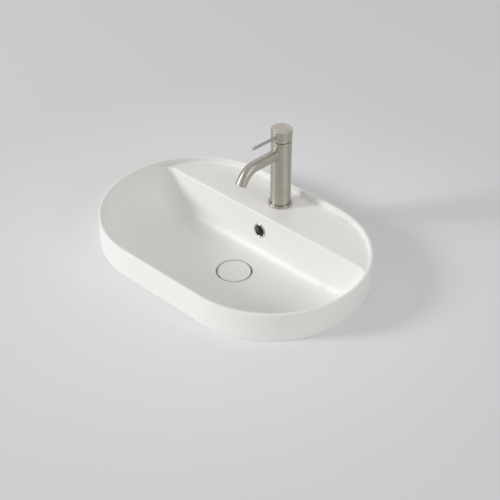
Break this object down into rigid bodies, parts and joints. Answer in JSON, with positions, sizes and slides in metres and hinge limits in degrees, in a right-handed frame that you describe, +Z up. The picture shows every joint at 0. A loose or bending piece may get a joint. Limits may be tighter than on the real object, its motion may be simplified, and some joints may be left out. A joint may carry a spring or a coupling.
{
  "type": "inset basin",
  "caption": "Pill-shaped inset wash basin with a low upright rim, rear tap landing, overflow, ceramic-covered click waste and single-lever tap.",
  "frame": {"origin": "middle of the basin on the plane of its seat, which is the counter's top face", "axes": "+X along the basin, +Y from the bowl to the tap, +Z up"},
  "size_m": [0.6, 0.396, 0.3741],
  "materials": {
    "glazed_ceramic": "matt white glaze",
    "brushed_nickel": "brushed nickel plate on brass",
    "chrome": "polished chrome plate on brass",
    "black_rubber": "moulded rubber",
    "white_plastic": "moulded acetal",
    "alumina": "lapped ceramic",
    "stainless_steel": "plain stainless steel",
    "bare_brass": "turned brass"
  },
  "bodies": {
    "fixture": {"basin": "glazed_ceramic", "tap_body": "brushed_nickel", "tap_spout": "brushed_nickel", "tap_base_ring": "brushed_nickel", "aerator_housing": "brushed_nickel", "overflow_ring": "chrome", "waste_body": "chrome", "waste_backnut": "chrome", "waste_flange_seal": "black_rubber", "waste_lower_washer": "black_rubber", "aerator_seal": "black_rubber", "tap_base_gasket": "black_rubber", "tap_rubber_washer": "black_rubber", "cartridge_gasket": "black_rubber", "waste_friction_washer": "white_plastic", "waste_click_housing": "white_plastic", "cartridge_base": "white_plastic", "cartridge_housing": "white_plastic", "aerator_insert": "white_plastic", "cartridge_fixed_disc": "alumina", "waste_spring": "stainless_steel", "tap_stud": "stainless_steel", "tap_plate_washer": "stainless_steel", "tap_fixing_nut": "bare_brass", "cartridge_nut": "bare_brass"},
    "waste_plug": {"waste_cover": "glazed_ceramic", "waste_cover_carrier": "chrome", "waste_plug_ring": "black_rubber", "waste_plunger": "white_plastic"},
    "mixer_turntable": {"cartridge_carrier": "white_plastic", "cartridge_pin": "stainless_steel"},
    "mixer_slider": {"cartridge_slider": "white_plastic", "cartridge_moving_disc": "alumina"},
    "handle": {"cartridge_stem": "stainless_steel", "handle_cap": "brushed_nickel", "handle_lever": "brushed_nickel", "handle_grub_screw": "stainless_steel"}
  },
  "joints": [
    {"name": "waste_plug_slide", "type": "slide", "parent": "fixture", "child": "waste_plug", "axis": [0, 0, 1], "range_m": [0, 0.008], "deforming": ["waste_spring"]},
    {"name": "handle_turn", "type": "hinge", "parent": "fixture", "child": "mixer_turntable", "pos_m": [0, 0.1434, 0.184], "axis": [0, 0, 1], "range_deg": [-50, 50]},
    {"name": "handle_lift", "type": "hinge", "parent": "mixer_turntable", "child": "handle", "pos_m": [0, 0.1434, 0.184], "axis": [-1, 0, 0], "range_deg": [0, 15]},
    {"name": "mixer_disc_slide", "type": "slide", "parent": "mixer_turntable", "child": "mixer_slider", "axis": [0, -1, 0], "range_m": [0, 0.003]}
  ],
  "couplings": [
    {"joint": "mixer_disc_slide", "follows": "handle_lift", "m_per_rad": 0.0112}
  ]
}
